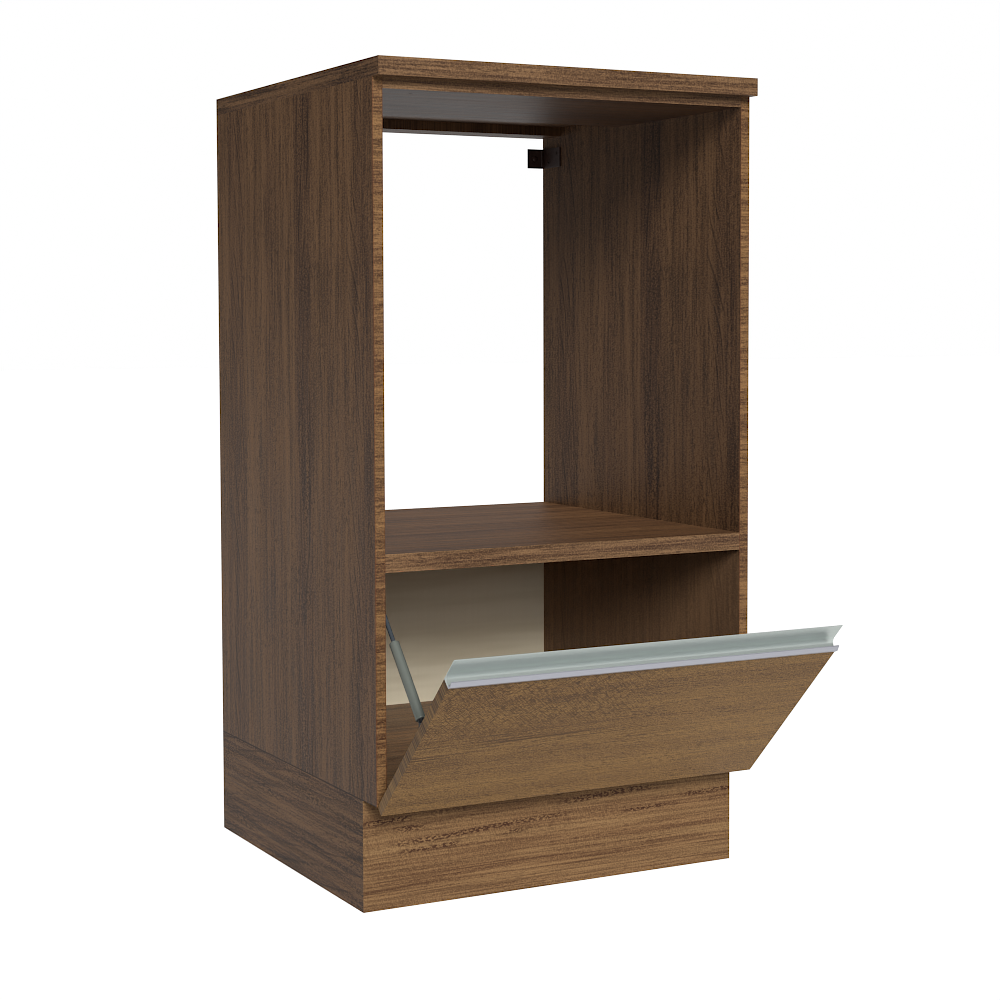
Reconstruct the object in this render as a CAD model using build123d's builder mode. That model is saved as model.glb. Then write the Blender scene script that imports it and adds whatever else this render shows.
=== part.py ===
from build123d import *
import os
from math import sin, cos, radians

os.makedirs("parts", exist_ok=True)

# ----------------------------------------------------------------------------
# Oven base cabinet, free standing, in millimetres.
# X runs to the right seen from the front, Y to the back, Z up from the floor.
# The origin is the middle of the footprint with the flap open, on the floor.
# ----------------------------------------------------------------------------

# --- carcase -----------------------------------------------------------------
W = 600.0            # overall width
HW = W / 2
D = 580.0            # depth of the sides
H = 1150.0           # overall height
T = 15.0             # boards of the carcase
TW = 25.0            # worktop
TS = 25.0            # oven shelf
EB = 0.5             # edge band
OVERHANG = 20.0      # worktop past the fronts of the sides
PLINTH_H = 155.0     # height of the plinth box
PLINTH_BACK = 45.0   # how far the plinth front stands back
FRONT_RAIL = 335.0   # depth of the front top rail
BACK_RAIL = 60.0     # depth of the back top rail
SHELF_TOP = 494.0    # top of the oven shelf
TB = 3.0             # hardboard back

# --- flap ----------------------------------------------------------------------
FLAP_W = 596.0
FLAP_H = 285.0
GAP = 0.8            # between the closed flap and the fronts of the sides
OPEN = 44.5          # opening angle of the flap as modelled, from upright
KN_R = 2.5           # hinge knuckle
PIN_R = 1.3
LEAF_T = 1.2
FIN = 39.5           # handle fin above the panel

# --- where the fronts of the sides lie, so that the footprint is centred --------
NAIL = 0.6
_s, _c = sin(radians(OPEN)), cos(radians(OPEN))
TIP_REL = -GAP / 2 + (-1.3) * _c - (FLAP_H - KN_R + FIN) * _s
F = -round((D + TB + NAIL + TIP_REL) / 2, 1)

Z0 = PLINTH_H
ZU = H - TW          # underside of the worktop
INNER = HW - T       # inner faces of the sides
YB = F + D           # rear edges of the boards

# --- hinge pin and the flap's own frame -----------------------------------------
# y into the cabinet and z up the panel when the flap is shut
AY, AZ = F - GAP / 2, Z0 + KN_R
IN = -GAP / 2                 # inner face of the panel
OUT = IN - T                  # outer face of the panel
BOT = -KN_R                   # lower edge of the panel
TOP = BOT + FLAP_H            # upper edge of the panel
FLAP_XY = Plane(origin=(0, AY, AZ), x_dir=(1, 0, 0), z_dir=(0, -_s, _c))
FLAP_YZ = Plane(origin=(0, AY, AZ), x_dir=(0, _c, _s), z_dir=(1, 0, 0))
FLAP_XZ = Plane(origin=(0, AY, AZ), x_dir=(1, 0, 0), z_dir=(0, -_c, -_s))


def flap_xyz(x, y, z):
    """A point of the flap's own frame in the part's frame."""
    return (x, AY + y * _c - z * _s, AZ + y * _s + z * _c)


# --- gas strut --------------------------------------------------------------------
SX = -272.0                                   # plane of the strut
BALL_FLAP = flap_xyz(SX, IN + 21.0, 145.0)    # lower ball, on the flap
STRUT_L = 240.0                               # ball to ball, fully out
STRUT_DIR = Vector(0, -0.67102, -0.74144).normalized()
BALL_SIDE = Vector(*BALL_FLAP) - STRUT_DIR * STRUT_L   # upper ball, on the side
STRUT = Plane(origin=BALL_SIDE, x_dir=(1, 0, 0), z_dir=STRUT_DIR)
BALL_R = 4.0
TUBE_A, TUBE_B = 107.0, 227.7                 # ends of the tube along the strut
TUBE_R = 7.0
ROD_R = 3.0

CCM = (Align.CENTER, Align.CENTER, Align.MAX)
CCN = (Align.CENTER, Align.CENTER, Align.MIN)
CL = 0.1                                      # radial clearance round fasteners


# --- small tools, used inside the part blocks ---------------------------------------
def board(x0, x1, y0, y1, z0, z1):
    """A rectangular board between two corners."""
    with Locations(((x0 + x1) / 2, (y0 + y1) / 2, z0)):
        Box(x1 - x0, y1 - y0, z1 - z0, align=CCN)


def csk_screw(places, rs, rh, hh, length):
    """Countersunk screws with a cross recess; local +Z leaves the wood."""
    with Locations(*places):
        Cylinder(rs, length, align=CCM)
        Cone(rs, rh, hh, align=CCM)
    with Locations(*places):
        Box(1.25 * rh, 0.3 * rh, 0.55 * hh, align=CCM, mode=Mode.SUBTRACT)
        Box(0.3 * rh, 1.25 * rh, 0.55 * hh, align=CCM, mode=Mode.SUBTRACT)


def csk_hole(places, rs, rh, hh, length):
    """The holes that those screws sit in."""
    with Locations(*places):
        Cylinder(rs + CL, length + 1.0, align=CCM, mode=Mode.SUBTRACT)
        Cone(rs + CL, rh + CL, hh, align=CCM, mode=Mode.SUBTRACT)


def pins(places, r, above, below):
    """Plain pins along local Z, from -below to +above."""
    with Locations(*places):
        Cylinder(r, above, align=CCN)
        Cylinder(r, below, align=CCM)


def pin_holes(places, r, above, below):
    with Locations(*places):
        Cylinder(r, above, align=CCN, mode=Mode.SUBTRACT)
        Cylinder(r, below, align=CCM, mode=Mode.SUBTRACT)


# --- where the fasteners are ------------------------------------------------------
def into_side(y, z):
    """Both inner faces of the sides, local +Z pointing into the side."""
    return [Location((s * INNER, y, z), (0, s * 90, 0)) for s in (-1, 1)]


CAM_OFF = 24.0       # cam centre from the side's inner face
ZSH = SHELF_TOP - TS / 2
ZBP = Z0 + T / 2
ZRL = ZU - T / 2
BOLTS_SHELF = into_side(F + 60, ZSH) + into_side(F + 520, ZSH)
BOLTS_BOTTOM = into_side(F + 150, ZBP) + into_side(F + 450, ZBP)
BOLTS_FRONT = into_side(F + 50, ZRL) + into_side(F + 285, ZRL)
BOLTS_BACK = into_side(F + 562, ZRL)
BOLTS = BOLTS_SHELF + BOLTS_BOTTOM + BOLTS_FRONT + BOLTS_BACK

DOWELS_SHELF = into_side(F + 95, ZSH) + into_side(F + 485, ZSH)
DOWELS_BOTTOM = into_side(F + 185, ZBP) + into_side(F + 415, ZBP)
DOWELS_FRONT = into_side(F + 85, ZRL) + into_side(F + 250, ZRL)
DOWELS_BACK = into_side(F + 535, ZRL)
DOWELS = DOWELS_SHELF + DOWELS_BOTTOM + DOWELS_FRONT + DOWELS_BACK


def cam_places(ys, z, turn):
    """Cam centres; local +Z points out of the face that the cam goes in from."""
    return [Location((s * (INNER - CAM_OFF), y, z), (turn, 0, 0))
            for y in ys for s in (-1, 1)]


CAMS_SHELF = cam_places((F + 60, F + 520), SHELF_TOP - TS, 180)
CAMS_BOTTOM = cam_places((F + 150, F + 450), Z0, 180)
CAMS_RAILS = cam_places((F + 50, F + 285), ZU, 0)
CAMS_BACK = cam_places((F + 562,), ZU, 0)

WORKTOP_SCREWS = [Location((x, y, ZU - T), (180, 0, 0))
                  for x in (-225, 225) for y in (F + 40, F + 300, F + 548)]
BLOCK = 35.0
BLOCK_Y = (F + PLINTH_BACK + T + BLOCK / 2, YB - T - BLOCK / 2)
BLOCK_X = INNER - BLOCK / 2
FLOOR_SCREWS = [Location((s * BLOCK_X, y, Z0 + T)) for s in (-1, 1) for y in BLOCK_Y]
BLOCK_SCREWS_X = [Location((s * (INNER - BLOCK), y, 78), (0, -s * 90, 0))
                  for s in (-1, 1) for y in BLOCK_Y]
BLOCK_SCREWS_Y = ([Location((s * BLOCK_X, F + PLINTH_BACK + T + BLOCK, 108), (-90, 0, 0))
                   for s in (-1, 1)]
                  + [Location((s * BLOCK_X, YB - T - BLOCK, 108), (90, 0, 0))
                     for s in (-1, 1)])

NAIL_PLACES = [Location((x, YB + TB, z), (-90, 0, 0)) for x, z in
               [(s * (HW - T / 2), zz) for s in (-1, 1) for zz in (200, 325, 450)]
               + [(xx, zz) for xx in (-200, 0, 200) for zz in (ZBP, ZSH)]]

BR_Z = 1076.0        # middle of the wall brackets
BR_H = 32.0
BR_T = 2.5
BRACKET_SCREWS = [Location((s * (INNER - BR_T), y, BR_Z + dz), (0, -s * 90, 0))
                  for s in (-1, 1) for y, dz in ((F + 530, 7), (F + 556, -7))]

HINGE_X = (-200.0, 200.0)
HINGE_L = 60.0
KN = 12.0            # one knuckle along the pin
HINGE_SCREWS_CAB = [Location((hx + dx, F + 14, Z0), (180, 0, 0))
                    for hx in HINGE_X for dx in (-21, 0, 21)]
HINGE_SCREWS_FLAP = [
    FLAP_XY.location * Location((hx + dx, -8.9, BOT), (180, 0, 0))
    for hx in HINGE_X for dx in (-21, 0, 21)]

PLATE_SCREWS = [Location((-INNER + 1.5, BALL_SIDE.Y, BALL_SIDE.Z - dz), (0, 90, 0))
                for dz in (15, 30)]
BRK_Z = 145.0        # strut bracket on the flap, along the panel
EAR_X = -262.1
BRK_SCREWS = [FLAP_XY.location * Location((-245, IN + 1.5, BRK_Z + dz), (-90, 0, 0))
              for dz in (-9, 9)]

# =============================================================================
# CARCASE
# =============================================================================
with BuildPart() as worktop:
    board(-HW + EB, HW - EB, F - OVERHANG + EB, YB, ZU, H)
    csk_hole(WORKTOP_SCREWS, 2.0, 3.9, 3.0, 34)
worktop.part.label = "worktop"
export_step(worktop.part, "parts/worktop.step")

# front strip and the two side strips of the worktop's band
with BuildPart() as worktop_edge_band:
    board(-HW, HW, F - OVERHANG, F - OVERHANG + EB, ZU, H)
    fillet(worktop_edge_band.edges().filter_by(Axis.X).group_by(Axis.Y)[0], 0.35)
    board(-HW, -HW + EB, F - OVERHANG + EB + 0.02, YB, ZU, H)
    board(HW - EB, HW, F - OVERHANG + EB + 0.02, YB, ZU, H)
worktop_edge_band.part.label = "worktop_edge_band"
export_step(worktop_edge_band.part, "parts/worktop_edge_band.step")

with BuildPart() as side_panel_left:
    board(-HW, -INNER, F + EB, YB, Z0, ZU)
    pin_holes(BOLTS, 2.5 + CL, 11.5, 0.5)
    pin_holes(DOWELS, 4.0 + CL, 10.5, 0.5)
    csk_hole(BRACKET_SCREWS, 1.8, 3.6, 2.2, 14)
    csk_hole(PLATE_SCREWS, 1.5, 2.8, 1.4, 13)
    pin_holes(NAIL_PLACES, 0.8 + 0.05, 1, 17)
side_panel_left.part.label = "side_panel_left"
export_step(side_panel_left.part, "parts/side_panel_left.step")

with BuildPart() as side_panel_right:
    board(INNER, HW, F + EB, YB, Z0, ZU)
    pin_holes(BOLTS, 2.5 + CL, 11.5, 0.5)
    pin_holes(DOWELS, 4.0 + CL, 10.5, 0.5)
    csk_hole(BRACKET_SCREWS, 1.8, 3.6, 2.2, 14)
    pin_holes(NAIL_PLACES, 0.8 + 0.05, 1, 17)
side_panel_right.part.label = "side_panel_right"
export_step(side_panel_right.part, "parts/side_panel_right.step")

with BuildPart() as side_edge_band_left:
    board(-HW, -INNER, F, F + EB, Z0, ZU)
    fillet(side_edge_band_left.edges().filter_by(Axis.Z).group_by(Axis.Y)[0], 0.35)
side_edge_band_left.part.label = "side_edge_band_left"
export_step(side_edge_band_left.part, "parts/side_edge_band_left.step")

with BuildPart() as side_edge_band_right:
    board(INNER, HW, F, F + EB, Z0, ZU)
    fillet(side_edge_band_right.edges().filter_by(Axis.Z).group_by(Axis.Y)[0], 0.35)
side_edge_band_right.part.label = "side_edge_band_right"
export_step(side_edge_band_right.part, "parts/side_edge_band_right.step")

with BuildPart() as top_rail_front:
    board(-INNER, INNER, F + EB, F + FRONT_RAIL, ZU - T, ZU)
    pin_holes(BOLTS_FRONT, 3.5 + CL, 0.5, CAM_OFF)
    with Locations(*CAMS_RAILS):
        Cylinder(7.6, 12.6, align=CCM, mode=Mode.SUBTRACT)
    pin_holes(DOWELS_FRONT, 4.0 + CL, 0.5, 20.5)
    csk_hole(WORKTOP_SCREWS, 2.0, 3.9, 3.0, 34)
top_rail_front.part.label = "top_rail_front"
export_step(top_rail_front.part, "parts/top_rail_front.step")

with BuildPart() as top_rail_edge_band:
    board(-INNER, INNER, F, F + EB, ZU - T, ZU)
top_rail_edge_band.part.label = "top_rail_edge_band"
export_step(top_rail_edge_band.part, "parts/top_rail_edge_band.step")

with BuildPart() as top_rail_back:
    board(-INNER, INNER, YB - BACK_RAIL, YB, ZU - T, ZU)
    pin_holes(BOLTS_BACK, 3.5 + CL, 0.5, CAM_OFF)
    with Locations(*CAMS_BACK):
        Cylinder(7.6, 12.6, align=CCM, mode=Mode.SUBTRACT)
    pin_holes(DOWELS_BACK, 4.0 + CL, 0.5, 20.5)
    csk_hole(WORKTOP_SCREWS, 2.0, 3.9, 3.0, 34)
top_rail_back.part.label = "top_rail_back"
export_step(top_rail_back.part, "parts/top_rail_back.step")

with BuildPart() as oven_shelf:
    board(-INNER, INNER, F + EB, YB, SHELF_TOP - TS, SHELF_TOP)
    pin_holes(BOLTS_SHELF, 3.5 + CL, 0.5, CAM_OFF)
    with Locations(*CAMS_SHELF):
        Cylinder(7.6, 17.6, align=CCM, mode=Mode.SUBTRACT)
    pin_holes(DOWELS_SHELF, 4.0 + CL, 0.5, 20.5)
    pin_holes(NAIL_PLACES, 0.8 + 0.05, 1, 17)
oven_shelf.part.label = "oven_shelf"
export_step(oven_shelf.part, "parts/oven_shelf.step")

with BuildPart() as oven_shelf_edge_band:
    board(-INNER, INNER, F, F + EB, SHELF_TOP - TS, SHELF_TOP)
    fillet(oven_shelf_edge_band.edges().filter_by(Axis.X).group_by(Axis.Y)[0], 0.35)
oven_shelf_edge_band.part.label = "oven_shelf_edge_band"
export_step(oven_shelf_edge_band.part, "parts/oven_shelf_edge_band.step")

# the floor of the lower compartment, let in underneath for the hinges
with BuildPart() as bottom_panel:
    board(-INNER, INNER, F + EB, YB, Z0, Z0 + T)
    pin_holes(BOLTS_BOTTOM, 3.5 + CL, 0.5, CAM_OFF)
    with Locations(*CAMS_BOTTOM):
        Cylinder(7.6, 12.6, align=CCM, mode=Mode.SUBTRACT)
    pin_holes(DOWELS_BOTTOM, 4.0 + CL, 0.5, 20.5)
    csk_hole(FLOOR_SCREWS, 2.0, 3.9, 3.0, 45)
    pin_holes(NAIL_PLACES, 0.8 + 0.05, 1, 17)
    for hx in HINGE_X:
        with Locations((hx, F, Z0)):
            Box(HINGE_L + 1, 5.6, 11.4, mode=Mode.SUBTRACT)
            Box(HINGE_L + 1, 2 * 22.3, 2 * (LEAF_T + 0.02), mode=Mode.SUBTRACT)
    csk_hole(HINGE_SCREWS_CAB, 1.4, 2.6, 1.2, 12)
bottom_panel.part.label = "bottom_panel"
export_step(bottom_panel.part, "parts/bottom_panel.step")

with BuildPart() as bottom_edge_band:
    board(-INNER, INNER, F, F + EB, Z0, Z0 + T)
    for hx in HINGE_X:
        with Locations((hx, F, Z0)):
            Box(HINGE_L + 1, 5.6, 11.4, mode=Mode.SUBTRACT)
bottom_edge_band.part.label = "bottom_edge_band"
export_step(bottom_edge_band.part, "parts/bottom_edge_band.step")

with BuildPart() as back_panel:
    board(-HW + 3, HW - 3, YB, YB + TB, Z0 + 2, SHELF_TOP - 2)
    pin_holes(NAIL_PLACES, 0.8 + 0.05, 1, 17)
back_panel.part.label = "back_panel"
export_step(back_panel.part, "parts/back_panel.step")

with BuildPart() as back_panel_nails:
    with Locations(*NAIL_PLACES):
        Cylinder(0.8, 15, align=CCM)
        Cylinder(2.0, NAIL, align=CCN)
back_panel_nails.part.label = "back_panel_nails"
export_step(back_panel_nails.part, "parts/back_panel_nails.step")

# =============================================================================
# PLINTH BOX
# =============================================================================
PF = F + PLINTH_BACK
with BuildPart() as plinth_front:
    board(-HW, HW, PF, PF + T, 0, Z0)
    csk_hole(BLOCK_SCREWS_Y, 2.0, 3.9, 3.0, 46)
plinth_front.part.label = "plinth_front"
export_step(plinth_front.part, "parts/plinth_front.step")

with BuildPart() as plinth_back:
    board(-INNER, INNER, YB - T, YB, 0, Z0)
    csk_hole(BLOCK_SCREWS_Y, 2.0, 3.9, 3.0, 46)
plinth_back.part.label = "plinth_back"
export_step(plinth_back.part, "parts/plinth_back.step")

with BuildPart() as plinth_side_left:
    board(-HW, -INNER, PF + T, YB, 0, Z0)
    csk_hole(BLOCK_SCREWS_X, 2.0, 3.9, 3.0, 46)
plinth_side_left.part.label = "plinth_side_left"
export_step(plinth_side_left.part, "parts/plinth_side_left.step")

with BuildPart() as plinth_side_right:
    board(INNER, HW, PF + T, YB, 0, Z0)
    csk_hole(BLOCK_SCREWS_X, 2.0, 3.9, 3.0, 46)
plinth_side_right.part.label = "plinth_side_right"
export_step(plinth_side_right.part, "parts/plinth_side_right.step")

with BuildPart() as plinth_corner_blocks:
    for s in (-1, 1):
        for y in BLOCK_Y:
            board(s * BLOCK_X - BLOCK / 2, s * BLOCK_X + BLOCK / 2,
                  y - BLOCK / 2, y + BLOCK / 2, 55, Z0)
    csk_hole(FLOOR_SCREWS, 2.0, 3.9, 3.0, 45)
    csk_hole(BLOCK_SCREWS_X, 2.0, 3.9, 3.0, 46)
    csk_hole(BLOCK_SCREWS_Y, 2.0, 3.9, 3.0, 46)
plinth_corner_blocks.part.label = "plinth_corner_blocks"
export_step(plinth_corner_blocks.part, "parts/plinth_corner_blocks.step")

with BuildPart() as plinth_screws:
    csk_screw(BLOCK_SCREWS_X, 2.0, 3.9, 3.0, 46)
    csk_screw(BLOCK_SCREWS_Y, 2.0, 3.9, 3.0, 46)
plinth_screws.part.label = "plinth_screws"
export_step(plinth_screws.part, "parts/plinth_screws.step")

with BuildPart() as floor_screws:
    csk_screw(FLOOR_SCREWS, 2.0, 3.9, 3.0, 45)
floor_screws.part.label = "floor_screws"
export_step(floor_screws.part, "parts/floor_screws.step")

# =============================================================================
# KNOCK-DOWN FITTINGS
# =============================================================================
with BuildPart() as worktop_screws:
    csk_screw(WORKTOP_SCREWS, 2.0, 3.9, 3.0, 33)
worktop_screws.part.label = "worktop_screws"
export_step(worktop_screws.part, "parts/worktop_screws.step")

with BuildPart() as cam_bolts:
    with Locations(*BOLTS):
        Cylinder(2.5, 11, align=CCN)
        Cylinder(3.5, CAM_OFF - 3.0, align=CCM)
    with Locations(*BOLTS):
        with Locations((0, 0, -(CAM_OFF - 3.0))):
            Cylinder(2.0, 2.2, align=CCM)
    with Locations(*BOLTS):
        with Locations((0, 0, -(CAM_OFF - 0.8))):
            Cylinder(3.3, 2.6, align=CCM)
cam_bolts.part.label = "cam_bolts"
export_step(cam_bolts.part, "parts/cam_bolts.step")

# round cams, hollow across where the bolt's head goes in, with a cross slot
with BuildPart() as cam_discs:
    with Locations(*CAMS_SHELF):
        Cylinder(7.4, 17.3, align=CCM)
    with Locations(*CAMS_BOTTOM, *CAMS_RAILS, *CAMS_BACK):
        Cylinder(7.4, 12.3, align=CCM)
    with Locations(*BOLTS):
        Cylinder(3.7, CAM_OFF + 3.2, align=CCM, mode=Mode.SUBTRACT)
    with Locations(*CAMS_SHELF, *CAMS_BOTTOM, *CAMS_RAILS, *CAMS_BACK):
        Box(8, 1.2, 1.6, align=CCM, mode=Mode.SUBTRACT)
        Box(1.2, 8, 1.6, align=CCM, mode=Mode.SUBTRACT)
cam_discs.part.label = "cam_discs"
export_step(cam_discs.part, "parts/cam_discs.step")

with BuildPart() as dowels:
    with Locations(*DOWELS):
        Cylinder(4.0, 10, align=CCN)
        Cylinder(4.0, 20, align=CCM)
dowels.part.label = "dowels"
export_step(dowels.part, "parts/dowels.step")

# =============================================================================
# WALL BRACKETS: one leg on the side, one leg across the open back
# =============================================================================
with BuildPart() as wall_bracket_left:
    with BuildSketch(Plane.XY.offset(BR_Z - BR_H / 2)):
        with BuildLine():
            Polyline((-INNER, YB), (-INNER, F + 520), (-INNER + BR_T, F + 520),
                     (-INNER + BR_T, YB - BR_T), (-INNER + 30, YB - BR_T),
                     (-INNER + 30, YB), close=True)
        make_face()
    extrude(amount=BR_H)
    fillet(wall_bracket_left.edges().filter_by(Axis.Z)
           .sort_by_distance((-INNER + BR_T, YB - BR_T, BR_Z))[0], 3.0)
    csk_hole(BRACKET_SCREWS, 1.8, 3.6, 2.2, 14)
    with Locations(Location((-INNER + 17, YB, BR_Z), (90, 0, 0))):
        Cylinder(2.75, 20, mode=Mode.SUBTRACT)
wall_bracket_left.part.label = "wall_bracket_left"
export_step(wall_bracket_left.part, "parts/wall_bracket_left.step")

with BuildPart() as wall_bracket_right:
    with BuildSketch(Plane.XY.offset(BR_Z - BR_H / 2)):
        with BuildLine():
            Polyline((INNER, YB), (INNER, F + 520), (INNER - BR_T, F + 520),
                     (INNER - BR_T, YB - BR_T), (INNER - 30, YB - BR_T),
                     (INNER - 30, YB), close=True)
        make_face()
    extrude(amount=BR_H)
    fillet(wall_bracket_right.edges().filter_by(Axis.Z)
           .sort_by_distance((INNER - BR_T, YB - BR_T, BR_Z))[0], 3.0)
    csk_hole(BRACKET_SCREWS, 1.8, 3.6, 2.2, 14)
    with Locations(Location((INNER - 17, YB, BR_Z), (90, 0, 0))):
        Cylinder(2.75, 20, mode=Mode.SUBTRACT)
wall_bracket_right.part.label = "wall_bracket_right"
export_step(wall_bracket_right.part, "parts/wall_bracket_right.step")

with BuildPart() as wall_bracket_screws:
    csk_screw(BRACKET_SCREWS, 1.8, 3.6, 2.2, 14)
wall_bracket_screws.part.label = "wall_bracket_screws"
export_step(wall_bracket_screws.part, "parts/wall_bracket_screws.step")

# =============================================================================
# FLAP, drawn in its own frame on the hinge pin
# =============================================================================
GROOVE_A, GROOVE_B = OUT + 6.1, OUT + 8.9     # groove for the handle's tongue
BEVEL = 2.3                                   # inner lower arris clears the sides
PANEL = [(OUT, BOT), (IN - BEVEL, BOT), (IN, BOT + BEVEL), (IN, TOP),
         (GROOVE_B, TOP), (GROOVE_B, TOP - 11), (GROOVE_A, TOP - 11),
         (GROOVE_A, TOP), (OUT, TOP)]
HWF = FLAP_W / 2

with BuildPart() as flap_panel:
    with BuildSketch(FLAP_YZ.offset(-HWF + EB)):
        with BuildLine():
            Polyline(*PANEL, close=True)
        make_face()
    extrude(amount=FLAP_W - 2 * EB)
    # rebates for the knuckles and the leaves
    for hx in HINGE_X:
        with BuildSketch(FLAP_YZ.offset(hx - HINGE_L / 2 - 0.5)):
            with BuildLine():
                Polyline((IN + 1, BOT - 1), (IN + 1, 3.2), (-3.2, 3.2), (-3.2, BOT - 1),
                         close=True)
            make_face()
            with BuildLine():
                Polyline((-3.1, BOT - 1), (-3.1, BOT + LEAF_T + 0.02),
                         (-14.3, BOT + LEAF_T + 0.02), (-14.3, BOT - 1), close=True)
            make_face()
        extrude(amount=HINGE_L + 1, mode=Mode.SUBTRACT)
    csk_hole(HINGE_SCREWS_FLAP, 1.4, 2.6, 1.2, 14)
    csk_hole(BRK_SCREWS, 1.5, 2.8, 1.4, 12)
flap_panel.part.label = "flap_panel"
export_step(flap_panel.part, "parts/flap_panel.step")

# strips on the two ends of the panel
BAND = [(OUT, BOT), (IN - BEVEL, BOT), (IN, BOT + BEVEL), (IN, TOP), (OUT, TOP)]

with BuildPart() as flap_edge_bands:
    for x0 in (-HWF, HWF - EB):
        with BuildSketch(FLAP_YZ.offset(x0)):
            with BuildLine():
                Polyline(*BAND, close=True)
            make_face()
        extrude(amount=EB)
flap_edge_bands.part.label = "flap_edge_bands"
export_step(flap_edge_bands.part, "parts/flap_edge_bands.step")


# extruded handle: base on the panel's edge, tongue in its groove, a lip that
# laps the outer face and a tall fin in line with the inner face
def uw(u, w):
    return (OUT - w, TOP + u)


with BuildPart() as handle_profile:
    with BuildSketch(FLAP_YZ.offset(-HWF)):
        with BuildLine():
            Polyline(uw(0, -15.4), uw(FIN - 0.4, -15.4), uw(FIN, -15.1), uw(FIN, -14.7),
                     uw(FIN - 0.3, -14.4), uw(13.4, -14.4))
            ThreePointArc(uw(13.4, -14.4), uw(6.1, -11.4), uw(3.1, -4.2))
            Polyline(uw(3.1, -4.2), uw(3.1, -1.2), uw(5.6, 1.0), uw(12.4, -0.8),
                     uw(13.2, -0.6), uw(13.4, 0.2), uw(13.0, 0.8), uw(5.9, 3.0),
                     uw(5.1, 2.9), uw(0, 0.6), uw(0, -15.4))
        make_face()
    extrude(amount=FLAP_W)
    # barbed tongue, between the panel's end strips
    with BuildSketch(FLAP_YZ.offset(-HWF + EB + 0.3)):
        with BuildLine():
            Polyline(uw(0.5, -6.3), uw(-3, -6.3), uw(-3.6, -6.1), uw(-4.2, -6.3),
                     uw(-6.6, -6.3), uw(-7.2, -6.1), uw(-7.8, -6.3), uw(-10, -6.5),
                     uw(-10, -8.5), uw(-7.8, -8.7), uw(-7.2, -8.9), uw(-6.6, -8.7),
                     uw(-4.2, -8.7), uw(-3.6, -8.9), uw(-3, -8.7), uw(0.5, -8.7),
                     close=True)
        make_face()
    extrude(amount=FLAP_W - 2 * EB - 0.6)
handle_profile.part.label = "handle_profile"
export_step(handle_profile.part, "parts/handle_profile.step")

with BuildPart() as flap_bumpers:
    for x in (-291.5, 291.5):
        with BuildSketch(FLAP_XZ.offset(-IN)):
            with Locations((x, 268)):
                Circle(4.0)
        extrude(amount=-0.5)
flap_bumpers.part.label = "flap_bumpers"
export_step(flap_bumpers.part, "parts/flap_bumpers.step")

# =============================================================================
# BUTT HINGES, let in under the bottom panel and under the flap
# =============================================================================
CAB_KN = (-24.0, 0.0, 24.0)       # middles of the knuckles of each leaf
FLAP_KN = (-12.0, 12.0)

with BuildPart() as hinge_leaves_cabinet:
    for hx in HINGE_X:
        board(hx - HINGE_L / 2, hx + HINGE_L / 2, F + 2.7, F + 22, Z0, Z0 + LEAF_T)
        for k in CAB_KN:
            board(hx + k - KN / 2 + 0.15, hx + k + KN / 2 - 0.15, AY, F + 2.8,
                  Z0, Z0 + LEAF_T)
            with Locations(Location((hx + k, AY, AZ), (0, 90, 0))):
                Cylinder(KN_R, KN - 0.3)
    for hx in HINGE_X:
        with Locations(Location((hx, AY, AZ), (0, 90, 0))):
            Cylinder(PIN_R + 0.05, HINGE_L + 2, mode=Mode.SUBTRACT)
    csk_hole(HINGE_SCREWS_CAB, 1.4, 2.6, 1.2, 12)
hinge_leaves_cabinet.part.label = "hinge_leaves_cabinet"
export_step(hinge_leaves_cabinet.part, "parts/hinge_leaves_cabinet.step")

with BuildPart() as hinge_leaves_flap:
    for hx in HINGE_X:
        with BuildSketch(FLAP_YZ.offset(hx - HINGE_L / 2)):
            with BuildLine():
                Polyline((-3.2, BOT), (-3.2, BOT + LEAF_T), (-14, BOT + LEAF_T), (-14, BOT),
                         close=True)
            make_face()
        extrude(amount=HINGE_L)
        for k in FLAP_KN:
            with BuildSketch(FLAP_YZ.offset(hx + k - KN / 2 + 0.15)):
                with BuildLine():
                    Polyline((0, BOT), (0, BOT + LEAF_T), (-3.3, BOT + LEAF_T), (-3.3, BOT),
                             close=True)
                make_face()
                Circle(KN_R)
            extrude(amount=KN - 0.3)
    for hx in HINGE_X:
        with Locations(Location((hx, AY, AZ), (0, 90, 0))):
            Cylinder(PIN_R + 0.05, HINGE_L + 2, mode=Mode.SUBTRACT)
    csk_hole(HINGE_SCREWS_FLAP, 1.4, 2.6, 1.2, 14)
hinge_leaves_flap.part.label = "hinge_leaves_flap"
export_step(hinge_leaves_flap.part, "parts/hinge_leaves_flap.step")

with BuildPart() as hinge_pins:
    for hx in HINGE_X:
        with Locations(Location((hx, AY, AZ), (0, 90, 0))):
            Cylinder(PIN_R, HINGE_L)
hinge_pins.part.label = "hinge_pins"
export_step(hinge_pins.part, "parts/hinge_pins.step")

with BuildPart() as hinge_screws_cabinet:
    csk_screw(HINGE_SCREWS_CAB, 1.4, 2.6, 1.2, 12)
hinge_screws_cabinet.part.label = "hinge_screws_cabinet"
export_step(hinge_screws_cabinet.part, "parts/hinge_screws_cabinet.step")

with BuildPart() as hinge_screws_flap:
    csk_screw(HINGE_SCREWS_FLAP, 1.4, 2.6, 1.2, 14)
hinge_screws_flap.part.label = "hinge_screws_flap"
export_step(hinge_screws_flap.part, "parts/hinge_screws_flap.step")

# =============================================================================
# GAS STRUT, drawn along its own axis from the ball on the side to the ball on
# the flap
# =============================================================================


def along(d):
    return STRUT.offset(d)


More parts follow.
